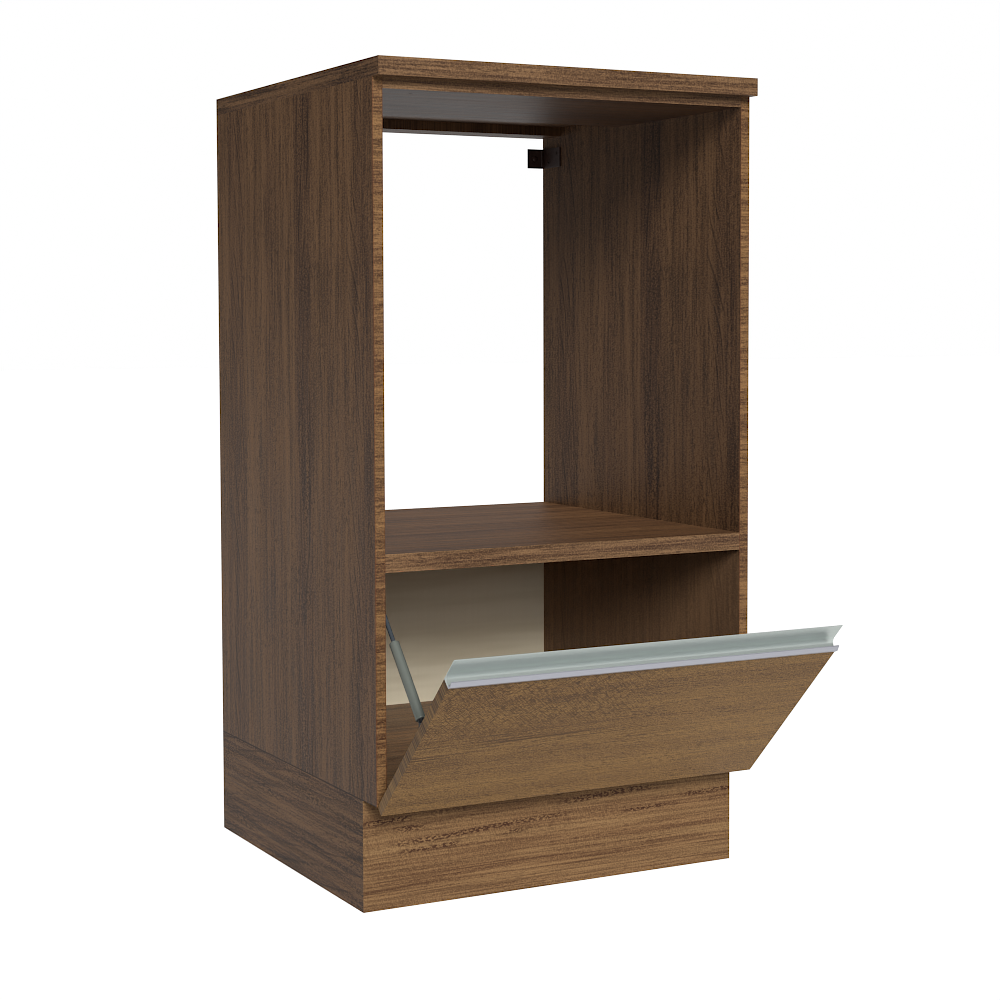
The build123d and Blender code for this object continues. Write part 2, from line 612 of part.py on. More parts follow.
with BuildPart() as strut_tube:
    with BuildSketch(along(TUBE_A)):
        Circle(TUBE_R)
    extrude(amount=TUBE_B - TUBE_A)
    fillet(strut_tube.edges().filter_by(GeomType.CIRCLE), 1.2)
    with BuildSketch(along(TUBE_A + 2.5)):
        Circle(5.8)
    extrude(amount=TUBE_B - TUBE_A - 2.5 - 5.0, mode=Mode.SUBTRACT)
    with BuildSketch(along(TUBE_A - 1)):
        Circle(4.2)
    extrude(amount=5, mode=Mode.SUBTRACT)
    with BuildSketch(along(TUBE_B - 1)):
        Circle(2.5)
    extrude(amount=5.5)
strut_tube.part.label = "strut_tube"
export_step(strut_tube.part, "parts/strut_tube.step")

with BuildPart() as strut_rod_guide:
    with BuildSketch(along(TUBE_A + 2.5)):
        Circle(5.7)
    extrude(amount=7)
    with BuildSketch(along(TUBE_A + 0.6)):
        Circle(4.1)
    extrude(amount=3)
    with BuildSketch(along(TUBE_A - 1)):
        Circle(ROD_R + 0.06)
    extrude(amount=14, mode=Mode.SUBTRACT)
strut_rod_guide.part.label = "strut_rod_guide"
export_step(strut_rod_guide.part, "parts/strut_rod_guide.step")

with BuildPart() as strut_rod:
    with BuildSketch(along(12)):
        Circle(ROD_R)
    extrude(amount=TUBE_A + 14 - 12)
    with BuildSketch(along(TUBE_A + 14)):
        Circle(2.0)
    extrude(amount=5)
strut_rod.part.label = "strut_rod"
export_step(strut_rod.part, "parts/strut_rod.step")

with BuildPart() as strut_piston:
    with BuildSketch(along(TUBE_A + 14)):
        Circle(5.7)
        Circle(2.05, mode=Mode.SUBTRACT)
    extrude(amount=4.5)
strut_piston.part.label = "strut_piston"
export_step(strut_piston.part, "parts/strut_piston.step")

# ball sockets: a round head on a neck, open on the side of the stud
with BuildPart() as strut_socket_upper:
    with Locations(Location(BALL_SIDE, (0, 90, 0))):
        Cylinder(6.5, 9)
    with BuildSketch(along(4)):
        Circle(4.6)
    extrude(amount=16)
    with BuildSketch(along(11.9)):
        Circle(ROD_R + 0.05)
    extrude(amount=10, mode=Mode.SUBTRACT)
    with Locations(Location(BALL_SIDE)):
        Sphere(BALL_R + 0.08, mode=Mode.SUBTRACT)
    with Locations(Location(BALL_SIDE, (0, -90, 0))):
        Cylinder(3.3, 8, align=CCN, mode=Mode.SUBTRACT)
strut_socket_upper.part.label = "strut_socket_upper"
export_step(strut_socket_upper.part, "parts/strut_socket_upper.step")

with BuildPart() as strut_socket_lower:
    with Locations(Location(BALL_FLAP, (0, 90, 0))):
        Cylinder(6.5, 9)
    with BuildSketch(along(TUBE_B)):
        Circle(4.6)
    extrude(amount=8.5)
    with BuildSketch(along(TUBE_B - 1)):
        Circle(2.55)
    extrude(amount=5.7, mode=Mode.SUBTRACT)
    with Locations(Location(BALL_FLAP)):
        Sphere(BALL_R + 0.08, mode=Mode.SUBTRACT)
    with Locations(Location(BALL_FLAP, (0, 90, 0))):
        Cylinder(3.3, 8, align=CCN, mode=Mode.SUBTRACT)
strut_socket_lower.part.label = "strut_socket_lower"
export_step(strut_socket_lower.part, "parts/strut_socket_lower.step")

# ball studs, turned: ball, neck and a flange
STUD_A = INNER - 1.5 + SX                     # ball to the plate on the side
STUD_B = EAR_X - 0.5 - SX                     # ball to the ear on the flap
with BuildPart() as ball_stud_side:
    with BuildSketch(Plane(origin=BALL_SIDE, x_dir=(-1, 0, 0), z_dir=(0, 1, 0))):
        with BuildLine():
            ThreePointArc((-BALL_R, 0), (0, BALL_R), ((BALL_R ** 2 - 2.2 ** 2) ** 0.5, 2.2))
            Polyline(((BALL_R ** 2 - 2.2 ** 2) ** 0.5, 2.2), (STUD_A - 1.6, 2.2),
                     (STUD_A - 1.6, 5.5), (STUD_A, 5.5), (STUD_A, 0), (-BALL_R, 0))
        make_face()
    revolve(axis=Axis(BALL_SIDE, (1, 0, 0)))
ball_stud_side.part.label = "ball_stud_side"
export_step(ball_stud_side.part, "parts/ball_stud_side.step")

with BuildPart() as ball_stud_flap:
    with BuildSketch(Plane(origin=BALL_FLAP, x_dir=(1, 0, 0), z_dir=(0, -1, 0))):
        with BuildLine():
            ThreePointArc((-BALL_R, 0), (0, BALL_R), ((BALL_R ** 2 - 2.2 ** 2) ** 0.5, 2.2))
            Polyline(((BALL_R ** 2 - 2.2 ** 2) ** 0.5, 2.2), (STUD_B - 1.6, 2.2),
                     (STUD_B - 1.6, 5.5), (STUD_B, 5.5), (STUD_B, 0), (-BALL_R, 0))
        make_face()
    revolve(axis=Axis(BALL_FLAP, (1, 0, 0)))
ball_stud_flap.part.label = "ball_stud_flap"
export_step(ball_stud_flap.part, "parts/ball_stud_flap.step")

with BuildPart() as strut_side_plate:
    with BuildSketch(Plane(origin=(-INNER, BALL_SIDE.Y, BALL_SIDE.Z), x_dir=(0, 1, 0),
                           z_dir=(1, 0, 0))):
        with Locations((0, -14)):
            RectangleRounded(18, 45, 4)
    extrude(amount=1.5)
    csk_hole(PLATE_SCREWS, 1.5, 2.8, 1.4, 13)
strut_side_plate.part.label = "strut_side_plate"
export_step(strut_side_plate.part, "parts/strut_side_plate.step")

with BuildPart() as strut_plate_screws:
    csk_screw(PLATE_SCREWS, 1.5, 2.8, 1.4, 12.5)
strut_plate_screws.part.label = "strut_plate_screws"
export_step(strut_plate_screws.part, "parts/strut_plate_screws.step")

# angle bracket on the flap's inner face, its ear beside the lower ball
with BuildPart() as strut_flap_bracket:
    with BuildSketch(FLAP_YZ.offset(EAR_X)):
        with BuildLine():
            Polyline((IN, BRK_Z - 15), (IN + 21, BRK_Z - 9), (IN + 21, BRK_Z + 9),
                     (IN, BRK_Z + 15), close=True)
        make_face()
        with Locations((IN + 21, BRK_Z)):
            Circle(9)
    extrude(amount=1.5)
    with BuildSketch(FLAP_XZ.offset(-IN)):
        with Locations((EAR_X + 14, BRK_Z)):
            Rectangle(28, 30)
    extrude(amount=-1.5)
    with Locations(Location(BALL_FLAP, (0, 90, 0))):
        Cylinder(2.6, 30, align=CCN, mode=Mode.SUBTRACT)
    csk_hole(BRK_SCREWS, 1.5, 2.8, 1.4, 12)
strut_flap_bracket.part.label = "strut_flap_bracket"
export_step(strut_flap_bracket.part, "parts/strut_flap_bracket.step")

with BuildPart() as strut_bracket_screws:
    csk_screw(BRK_SCREWS, 1.5, 2.8, 1.4, 12)
strut_bracket_screws.part.label = "strut_bracket_screws"
export_step(strut_bracket_screws.part, "parts/strut_bracket_screws.step")

# the shank and nut that hold the lower stud in the ear
with BuildPart() as stud_nut:
    with BuildSketch(Plane(origin=(EAR_X + 1.5, BALL_FLAP[1], BALL_FLAP[2]),
                           x_dir=(0, 1, 0), z_dir=(1, 0, 0))):
        RegularPolygon(4.6, 6)
    extrude(amount=3.2)
    with BuildSketch(Plane(origin=(EAR_X, BALL_FLAP[1], BALL_FLAP[2]),
                           x_dir=(0, 1, 0), z_dir=(1, 0, 0))):
        Circle(2.5)
    extrude(amount=6)
stud_nut.part.label = "stud_nut"
export_step(stud_nut.part, "parts/stud_nut.step")
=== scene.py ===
import math
import bpy
import bmesh
from mathutils import Matrix, Vector


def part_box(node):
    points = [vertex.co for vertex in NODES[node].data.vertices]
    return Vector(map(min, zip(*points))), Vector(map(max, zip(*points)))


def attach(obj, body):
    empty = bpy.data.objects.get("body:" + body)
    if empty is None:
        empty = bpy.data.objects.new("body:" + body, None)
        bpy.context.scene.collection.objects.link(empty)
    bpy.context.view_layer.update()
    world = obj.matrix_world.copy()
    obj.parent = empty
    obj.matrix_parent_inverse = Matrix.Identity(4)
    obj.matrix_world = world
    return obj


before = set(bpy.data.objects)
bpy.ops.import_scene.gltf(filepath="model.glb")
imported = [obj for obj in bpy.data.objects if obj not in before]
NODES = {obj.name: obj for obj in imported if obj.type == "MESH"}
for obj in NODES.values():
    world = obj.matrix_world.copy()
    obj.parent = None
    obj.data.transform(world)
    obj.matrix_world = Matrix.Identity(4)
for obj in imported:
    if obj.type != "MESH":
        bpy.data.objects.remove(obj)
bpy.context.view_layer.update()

# the flap stands 44.5 degrees open in the rest pose; its own axes in the y-z plane
FRONT_Y = -0.1783
OPEN = math.radians(44.5)
FLAP_N = (0.0, math.cos(OPEN), math.sin(OPEN))        # from the front face towards the inside
FLAP_UP = (0.0, -math.sin(OPEN), math.cos(OPEN))      # from the hinge to the grip
HINGE = (0.0, FRONT_Y - 0.0004, 0.1575)


# ---------------------------------------------------------------- camera
scene = bpy.context.scene
cam_data = bpy.data.cameras.new("camera")
cam_data.sensor_width = 36.0
cam_data.lens = 73.778
cam_data.shift_x = 0.03
cam_data.shift_y = -0.065
cam_data.clip_start = 0.05
cam_data.clip_end = 200.0
cam = bpy.data.objects.new("camera", cam_data)
scene.collection.objects.link(cam)
turn = (Matrix.Rotation(-0.47867153, 3, "Z") @ Matrix.Rotation(-0.05665524, 3, "X")
        @ Matrix.Rotation(0.00379921, 3, "Y"))
look = turn @ Matrix(((1, 0, 0), (0, 0, -1), (0, 1, 0)))
cam.matrix_world = Matrix.Translation((-1.434835, -2.640171, 0.806917)) @ look.to_4x4()
scene.camera = cam


# ---------------------------------------------------------------- node helper
def lin(r, g, b):
    """An 8-bit screen colour as linear light."""
    def one(c):
        c /= 255.0
        return c / 12.92 if c <= 0.04045 else ((c + 0.055) / 1.055) ** 2.4
    return (one(r), one(g), one(b), 1.0)


class Tree:
    """Short calls for building a material's node tree."""

    def __init__(self, name, coat=None):
        self.mat = bpy.data.materials.new(name)
        self.mat.use_nodes = True
        self.nt = self.mat.node_tree
        self.nt.nodes.clear()
        self.out = self.nt.nodes.new("ShaderNodeOutputMaterial")
        self.bsdf = self.nt.nodes.new("ShaderNodeBsdfPrincipled")
        self.nt.links.new(self.bsdf.outputs[0], self.out.inputs[0])
        self.coords = self.nt.nodes.new("ShaderNodeTexCoord")

    def put(self, socket, value):
        if isinstance(value, bpy.types.NodeSocket):
            self.nt.links.new(value, socket)
        elif value is not None:
            socket.default_value = value

    def math(self, op, a, b=None, c=None, clamp=False):
        n = self.nt.nodes.new("ShaderNodeMath")
        n.operation = op
        n.use_clamp = clamp
        for s, v in zip(n.inputs, (a, b, c)):
            self.put(s, v)
        return n.outputs[0]

    def mul(self, a, b):
        return self.math("MULTIPLY", a, b)

    def add(self, a, b):
        return self.math("ADD", a, b)

    def sub(self, a, b):
        return self.math("SUBTRACT", a, b)

    def point(self):
        return self.coords.outputs["Object"]

    def xyz(self, vec=None):
        n = self.nt.nodes.new("ShaderNodeSeparateXYZ")
        self.put(n.inputs[0], self.point() if vec is None else vec)
        return n.outputs[0], n.outputs[1], n.outputs[2]

    def normal(self):
        return self.xyz(self.coords.outputs["Normal"])

    def vec(self, x, y, z):
        n = self.nt.nodes.new("ShaderNodeCombineXYZ")
        for s, v in zip(n.inputs, (x, y, z)):
            self.put(s, v)
        return n.outputs[0]

    def dot(self, vec, axis):
        n = self.nt.nodes.new("ShaderNodeVectorMath")
        n.operation = "DOT_PRODUCT"
        self.put(n.inputs[0], vec)
        n.inputs[1].default_value = axis
        return n.outputs["Value"]

    def noise(self, vec, detail=2.0, rough=0.5, distortion=0.0, dims="3D"):
        n = self.nt.nodes.new("ShaderNodeTexNoise")
        n.noise_dimensions = dims
        n.inputs["Scale"].default_value = 1.0
        n.inputs["Detail"].default_value = detail
        n.inputs["Roughness"].default_value = rough
        n.inputs["Distortion"].default_value = distortion
        self.put(n.inputs["Vector"], vec)
        return n.outputs["Fac"]

    def voronoi(self, vec, feature="F1"):
        n = self.nt.nodes.new("ShaderNodeTexVoronoi")
        n.feature = feature
        n.inputs["Scale"].default_value = 1.0
        self.put(n.inputs["Vector"], vec)
        return n

    def span(self, value, lo, hi, to_lo=0.0, to_hi=1.0, smooth=True):
        n = self.nt.nodes.new("ShaderNodeMapRange")
        n.interpolation_type = "SMOOTHSTEP" if smooth else "LINEAR"
        n.clamp = True
        self.put(n.inputs["Value"], value)
        n.inputs["From Min"].default_value = lo
        n.inputs["From Max"].default_value = hi
        n.inputs["To Min"].default_value = to_lo
        n.inputs["To Max"].default_value = to_hi
        return n.outputs["Result"]

    def ramp(self, value, stops, interpolation="LINEAR"):
        n = self.nt.nodes.new("ShaderNodeValToRGB")
        r = n.color_ramp
        r.interpolation = interpolation
        while len(r.elements) < len(stops):
            r.elements.new(1.0)
        for e, (pos, col) in zip(r.elements, stops):
            e.position = pos
            e.color = col if len(col) == 4 else (*col, 1.0)
        self.put(n.inputs["Fac"], value)
        return n.outputs["Color"]

    def mix(self, fac, a, b, blend="MIX"):
        n = self.nt.nodes.new("ShaderNodeMix")
        n.data_type = "RGBA"
        n.blend_type = blend
        n.clamp_factor = True
        self.put(n.inputs[0], fac)
        self.put(n.inputs[6], a)
        self.put(n.inputs[7], b)
        return n.outputs[2]

    def lerp(self, fac, a, b):
        n = self.nt.nodes.new("ShaderNodeMix")
        n.data_type = "FLOAT"
        self.put(n.inputs[0], fac)
        self.put(n.inputs[2], a)
        self.put(n.inputs[3], b)
        return n.outputs[0]

    def bump(self, height, strength, distance=0.001, normal=None):
        n = self.nt.nodes.new("ShaderNodeBump")
        n.inputs["Strength"].default_value = strength
        n.inputs["Distance"].default_value = distance
        self.put(n.inputs["Height"], height)
        if normal is not None:
            self.put(n.inputs["Normal"], normal)
        return n.outputs["Normal"]

    def done(self, colour, rough, normal=None, metallic=0.0, specular=0.5, ior=1.5, coat=0.0, coat_rough=0.3):
        b = self.bsdf
        self.put(b.inputs["Base Color"], colour)
        self.put(b.inputs["Roughness"], rough)
        b.inputs["Metallic"].default_value = metallic
        b.inputs["IOR"].default_value = ior
        b.inputs["Specular IOR Level"].default_value = specular
        if coat:
            b.inputs["Coat Weight"].default_value = coat
            b.inputs["Coat Roughness"].default_value = coat_rough
        if normal is not None:
            self.put(b.inputs["Normal"], normal)
        return self.mat


# ---------------------------------------------------------------- the wood decor
GOLD = lin(118, 86, 52)
BROWN = lin(104, 74, 47)
PURPLE = lin(88, 64, 47)
DARK = lin(46, 29, 19)


def streaks(t, g, a, sg, sa, seed, lo, hi, detail=2.0, rough=0.55, distortion=0.0):
    """Stretched noise, as a weight from 0 to 1: sg cells a metre along the grain, sa across it."""
    v = t.vec(t.mul(g, sg), t.mul(a, sa), seed)
    return t.span(t.noise(v, detail, rough, distortion), lo, hi)


def both(t, *weights):
    w = weights[0]
    for other in weights[1:]:
        w = t.mul(w, other)
    return w


def decor(t, g, a, seed=0.0, tone=(BROWN, GOLD, PURPLE, DARK), band=None, band_scale=22.0, wave=0.006,
          fine=(6.0, 420.0, 0.35), lines=(4.0, 150.0, 0.25), speck=(560.0, 560.0, 0.24), rings=(26.0, 0.5, 1.6, 8.0, 0.35),
          slant=0.0, pores=(110.0, 800.0, 0.6), stitch=(260.0, 700.0, 0.0), hatch=(420.0, 60.0, 0.25),
          patchy=(5.0, 55.0), spread=0.2):
    """The printed oak: broad bands, fine fibre, growth lines in dark and light pairs, pores in short dark dashes,
    and ripples across the grain. g runs along the grain and a across it, in metres; a layer's first two numbers are
    its cells a metre along and across the grain, and its last one is its strength."""
    brown, gold, purple, dark = tone
    light = tuple(min(1.0, c * 1.18) for c in gold[:3]) + (1.0,)
    drift = t.noise(t.vec(t.mul(g, 2.3), t.mul(a, 5.0), seed + 3.1), 1.0)
    a_w = t.add(a, t.mul(t.sub(drift, 0.5), wave))
    if band is None:
        band = streaks(t, g, a_w, 0.55, band_scale, seed + 11.0, 0.38, 0.62, 1.5)
    else:
        band = t.add(t.mul(band, 0.85), t.mul(streaks(t, g, a_w, 0.8, 60.0, seed + 11.0, 0.4, 0.62, 1.5), 0.15))
    col = t.mix(band, t.mix(streaks(t, g, a_w, 1.1, 34.0, seed + 5.0, 0.35, 0.65), brown, gold), purple)
    fibre = t.noise(t.vec(t.mul(g, fine[0]), t.mul(a_w, fine[1]), seed + 21.0), 2.0, 0.6)
    broad = t.noise(t.vec(t.mul(g, lines[0]), t.mul(a_w, lines[1]), seed + 25.0), 2.0, 0.6)
    grit = t.noise(t.vec(t.mul(g, speck[0]), t.mul(a, speck[1]), seed + 91.0), 1.0, 0.6)
    for n, k in ((fibre, fine[2]), (broad, lines[2]), (grit, speck[2])):
        col = t.mix(t.span(n, 0.34, 0.51, k * 1.6, 0.0, False), col, dark)
        col = t.mix(t.span(n, 0.50, 0.66, 0.0, k * 2.2, False), col, light)
    # growth lines, mostly inside the darker bands, each with a lighter one beside it
    ring = t.noise(t.vec(t.mul(g, rings[2]), t.mul(a, rings[3]), seed + 31.0), 2.0, 0.45)
    phase = t.add(t.add(t.mul(a, rings[0]), t.mul(ring, rings[1] * 4.0)), t.mul(g, slant))
    where = t.mul(t.add(t.mul(band, 0.9), 0.1), streaks(t, g, a_w, 6.0, 30.0, seed + 41.0, 0.40, 0.56))
    line = t.mul(t.span(t.math("SINE", t.mul(phase, 6.2832)), 0.86, 0.99), where)
    glint = t.mul(t.span(t.math("SINE", t.mul(t.add(phase, 0.2), 6.2832)), 0.88, 0.99), where)
    col = t.mix(t.mul(line, rings[4]), col, dark)
    col = t.mix(t.mul(glint, rings[4] * 0.4), col, gold)
    # pores, gathered in patches
    patch = t.add(t.mul(streaks(t, g, a_w, patchy[0], patchy[1], seed + 61.0, 0.40, 0.60), 1.0 - spread), spread)
    pore = streaks(t, g, a_w, pores[0], pores[1], seed + 51.0, 0.54, 0.64, 1.0)
    col = t.mix(both(t, pore, patch, pores[2]), col, dark)
    if stitch[2]:
        clump = streaks(t, g, a_w, 4.0, 46.0, seed + 65.0, 0.54, 0.64)
        dots = streaks(t, g, a, stitch[0], stitch[1], seed + 57.0, 0.48, 0.60, 1.0)
        col = t.mix(both(t, dots, clump, stitch[2]), col, dark)
    # ripples across the grain
    ripple = t.noise(t.vec(t.mul(t.add(g, t.mul(a, 0.35)), hatch[0]), t.mul(a, hatch[1]), seed + 71.0), 2.0, 0.6)
    zone = streaks(t, g, a_w, 2.0, 26.0, seed + 81.0, 0.40, 0.62)
    col = t.mix(both(t, t.span(ripple, 0.44, 0.62), zone, hatch[2]), col, dark)
    height = t.sub(t.add(t.mul(fibre, 0.6), t.mul(ripple, 0.2)), t.add(t.mul(pore, 0.5), t.mul(line, 0.4)))
    return col, height, fibre


def joint_line(t, col, dark, distance, width=0.0009):
    """The dark hairline along a board's arris, where it meets the next one; distance is to that arris."""
    return t.mix(t.span(distance, width * 0.6, width * 1.5, 0.8, 0.0), col, dark)


def chipboard(t, seed=0.0):
    """The raw core of the board, where an edge isn't banded: pressed flakes, lighter and darker."""
    x, y, z = t.xyz()
    v = t.voronoi(t.vec(t.mul(x, 420.0), t.mul(y, 330.0), t.add(t.mul(z, 260.0), seed)))
    sep = t.nt.nodes.new("ShaderNodeSeparateColor")
    t.put(sep.inputs[0], v.outputs["Color"])
    flake = sep.outputs[0]
    fine = t.noise(t.vec(t.mul(x, 900.0), t.mul(y, 900.0), t.mul(z, 900.0)), 3.0, 0.7)
    col = t.ramp(flake, [(0.0, lin(120, 92, 60)), (0.35, lin(168, 136, 96)), (0.7, lin(192, 164, 122)), (1.0, lin(146, 112, 74))])
    col = t.mix(t.span(fine, 0.55, 0.75, 0.0, 0.5), col, lin(84, 58, 34))
    height = t.add(t.mul(flake, 0.5), fine)
    return col, height


def board(name, main, main_mask, core=True, rough=0.44, spec=0.2, seed=0.0):
    """A board's material. main(t) gives the decor on its faces; main_mask(t) is 1 on them and 0 on raw edges."""
    t = Tree(name)
    col, height, fine = main(t)
    r = t.span(fine, 0.25, 0.75, rough - 0.05, rough + 0.07, False)
    if core:
        m = main_mask(t)
        c_col, c_height = chipboard(t, seed)
        col = t.mix(m, c_col, col)
        height = t.lerp(m, t.mul(c_height, 2.5), height)
        r = t.lerp(m, 0.85, r)
    n = t.bump(height, 0.22, 0.0006)
    return t.done(col, r, n, specular=spec)


def big_face(axis):
    def mask(t):
        n = t.normal()[axis]
        return t.math("GREATER_THAN", t.math("ABSOLUTE", n), 0.5)
    return mask


# where the darker bands lie across the side panels' depth: (metres from the front, weight)
SIDE_BANDS = [(0.0, 0.9), (0.055, 0.85), (0.075, 0.1), (0.13, 0.12), (0.146, 0.5), (0.160, 0.1), (0.20, 0.15),
              (0.215, 1.0), (0.262, 0.95), (0.275, 0.1), (0.345, 0.15), (0.358, 0.6), (0.375, 0.5), (0.388, 0.05),
              (0.462, 0.15), (0.478, 0.8), (0.528, 0.85), (0.545, 0.2), (0.58, 0.35)]
SIDE_TONE = (lin(104, 76, 52), lin(117, 87, 60), lin(88, 63, 46), lin(28, 17, 12))
FRONT_TONE = (lin(110, 83, 55), lin(126, 98, 66), lin(99, 72, 48), lin(46, 23, 16))


def side_face(t):
    x, y, z = t.xyz()
    depth = t.sub(y, FRONT_Y)
    sway = t.noise(t.vec(t.mul(z, 1.7), t.mul(y, 3.0), 7.0), 1.0)
    d = t.add(depth, t.mul(t.sub(sway, 0.5), 0.012))
    band = t.ramp(t.mul(d, 1.0 / 0.58), [(p / 0.58, (w, w, w)) for p, w in SIDE_BANDS])
    col, height, fibre = decor(t, z, depth, 1.0, tone=SIDE_TONE, band=band, fine=(9.0, 170.0, 0.28), lines=(2.5, 60.0, 0.17),
                               speck=(420.0, 200.0, 0.18), rings=(40.0, 0.5, 2.2, 5.0, 0.0), pores=(80.0, 200.0, 0.42),
                               hatch=(420.0, 70.0, 0.28), patchy=(6.0, 30.0), spread=0.12)
    # nested slanting lines in the bands next to the front and next to the back
    for lo, hi, seed, pitch, lean in ((0.030, 0.088, 141.0, 52.0, -15.0), (0.462, 0.530, 145.0, 44.0, -10.0),
                                      (0.205, 0.268, 149.0, 40.0, 3.0)):
        mask = t.mul(t.span(d, lo, lo + 0.012), t.span(d, hi - 0.012, hi, 1.0, 0.0))
        bend = t.noise(t.vec(t.mul(z, 3.0), t.mul(depth, 7.0), seed), 2.0, 0.5)
        phase = t.add(t.add(t.mul(depth, pitch), t.mul(z, lean)), t.mul(bend, 3.2))
        part = both(t, mask, streaks(t, z, depth, 5.0, 26.0, seed + 1.0, 0.42, 0.56))
        dark = t.mul(t.span(t.math("SINE", t.mul(phase, 6.2832)), 0.78, 0.98), part)
        pale = t.mul(t.span(t.math("SINE", t.mul(t.add(phase, 0.22), 6.2832)), 0.82, 0.98), part)
        col = t.mix(t.mul(dark, 0.5), col, SIDE_TONE[3])
        col = t.mix(t.mul(pale, 0.3), col, SIDE_TONE[1])
    # short dark dots packed into the middle band
    packed = t.mul(t.span(d, 0.210, 0.222), t.span(d, 0.252, 0.268, 1.0, 0.0))
    dots = streaks(t, z, depth, 260.0, 190.0, 155.0, 0.47, 0.62, 1.0)
    clump = streaks(t, z, depth, 7.0, 20.0, 157.0, 0.40, 0.55)
    col = t.mix(both(t, packed, dots, clump, 0.6), col, SIDE_TONE[3])
    # painted light: the sides' inner faces below the shelf are mixed towards a lighter tone, standing in for light that
    # doesn't reach them
    inside = both(t, t.span(z, 0.455, 0.470, 1.0, 0.0), t.span(t.math("ABSOLUTE", x), 0.2860, 0.2900, 1.0, 0.0), 0.28)
    col = t.mix(inside, col, lin(156, 122, 92))
    return joint_line(t, col, SIDE_TONE[3], t.sub(z, 0.155)), height, fibre


def flat_face(t):
    """Top and bottom faces of the horizontal boards: grain from side to side."""
    x, y, z = t.xyz()
    tone = (lin(114, 80, 52), lin(128, 92, 61), lin(100, 70, 48), SIDE_TONE[3])
    return decor(t, x, y, 2.7, tone=tone, fine=(7.0, 220.0, 0.24), lines=(3.0, 70.0, 0.2), speck=(420.0, 420.0, 0.16),
                 rings=(20.0, 0.5, 1.6, 5.0, 0.3), pores=(60.0, 360.0, 0.3))


def floor_face_painted_light(t):
    x, y, z = t.xyz()
    # painted light: the shelf's decor in a lighter tone, standing in for light on the compartment's floor
    tone = (lin(130, 95, 64), lin(146, 109, 75), lin(115, 83, 59), SIDE_TONE[3])
    return decor(t, x, y, 2.7, tone=tone, fine=(7.0, 220.0, 0.24), lines=(3.0, 70.0, 0.2), speck=(420.0, 420.0, 0.16),
                 rings=(20.0, 0.5, 1.6, 5.0, 0.3), pores=(60.0, 360.0, 0.3))


def rail_face_painted_shade(t):
    x, y, z = t.xyz()
    # painted shade: a darker tone than the shelf's, standing in for the shade under the worktop
    tone = (lin(85, 59, 38), lin(98, 69, 45), lin(74, 50, 34), SIDE_TONE[3])
    return decor(t, x, y, 2.7, tone=tone, fine=(7.0, 160.0, 0.24), rings=(20.0, 0.5, 1.6, 5.0, 0.3), pores=(40.0, 260.0, 0.3))


def front_strip(seed, **kw):
    def f(t):
        x, y, z = t.xyz()
        return decor(t, x, z, seed, tone=FRONT_TONE, **kw)
    return f


def everywhere(t):
    return 1.0


def not_rear(t):
    return t.math("LESS_THAN", t.normal()[1], 0.5)


M = {}
M["side"] = board("side_decor", side_face, not_rear, spec=0.15, seed=1.0)
M["flat"] = board("cross_board_decor", flat_face, not_rear, spec=0.24, seed=2.0)
M["floor"] = board("compartment_floor_decor_painted_light", floor_face_painted_light, not_rear, seed=2.0)
M["rail"] = board("rail_decor_painted_shade", rail_face_painted_shade, not_rear, spec=0.11, seed=2.0)


def worktop_face(t):
    x, y, z = t.xyz()
    nx = t.math("GREATER_THAN", t.math("ABSOLUTE", t.normal()[0]), 0.5)
    top = decor(t, x, y, 4.1, tone=SIDE_TONE, fine=(6.0, 260.0, 0.3), lines=(3.0, 60.0, 0.25), pores=(70.0, 420.0, 0.5))
    end = decor(t, y, z, 5.3, tone=SIDE_TONE, band_scale=60.0, fine=(9.0, 380.0, 0.3), lines=(5.0, 150.0, 0.3),
                speck=(200.0, 500.0, 0.2), rings=(110.0, 0.4, 3.0, 12.0, 0.5), pores=(60.0, 480.0, 0.6))
    return t.mix(nx, top[0], end[0]), t.lerp(nx, top[1], end[1]), t.lerp(nx, top[2], end[2])


def cross_front(t):
    x, y, z = t.xyz()
    tone = (lin(102, 75, 50), lin(122, 93, 64), lin(86, 61, 42), lin(38, 21, 13))
    nx = t.math("GREATER_THAN", t.math("ABSOLUTE", t.normal()[0]), 0.5)
    front = decor(t, x, z, 6.0, tone=tone, band_scale=55.0, fine=(10.0, 330.0, 0.26), lines=(5.0, 170.0, 0.24), speck=(380.0, 420.0, 0.16),
                  rings=(130.0, 0.5, 3.0, 14.0, 0.3), pores=(75.0, 380.0, 0.5), stitch=(180.0, 360.0, 0.3), spread=0.35)
    end = decor(t, y, z, 5.3, tone=SIDE_TONE, band_scale=60.0, fine=(9.0, 380.0, 0.3), lines=(5.0, 150.0, 0.3),
                speck=(200.0, 500.0, 0.2), rings=(110.0, 0.4, 3.0, 12.0, 0.5), pores=(60.0, 480.0, 0.6))
    # painted shadow: the upper part of the rail's strip darkens towards the worktop, as the worktop's overhang shades
    # it
    col = t.mix(both(t, t.span(z, 1.0885, 1.0925), t.span(z, 1.0950, 1.0952, 1.0, 0.0), 0.55), front[0], tone[3])
    return t.mix(nx, col, end[0]), t.lerp(nx, front[1], end[1]), t.lerp(nx, front[2], end[2])


M["worktop"] = board("worktop_decor", worktop_face, not_rear, seed=3.0)
M["front_band"] = board("front_band_decor", cross_front, everywhere, core=False)


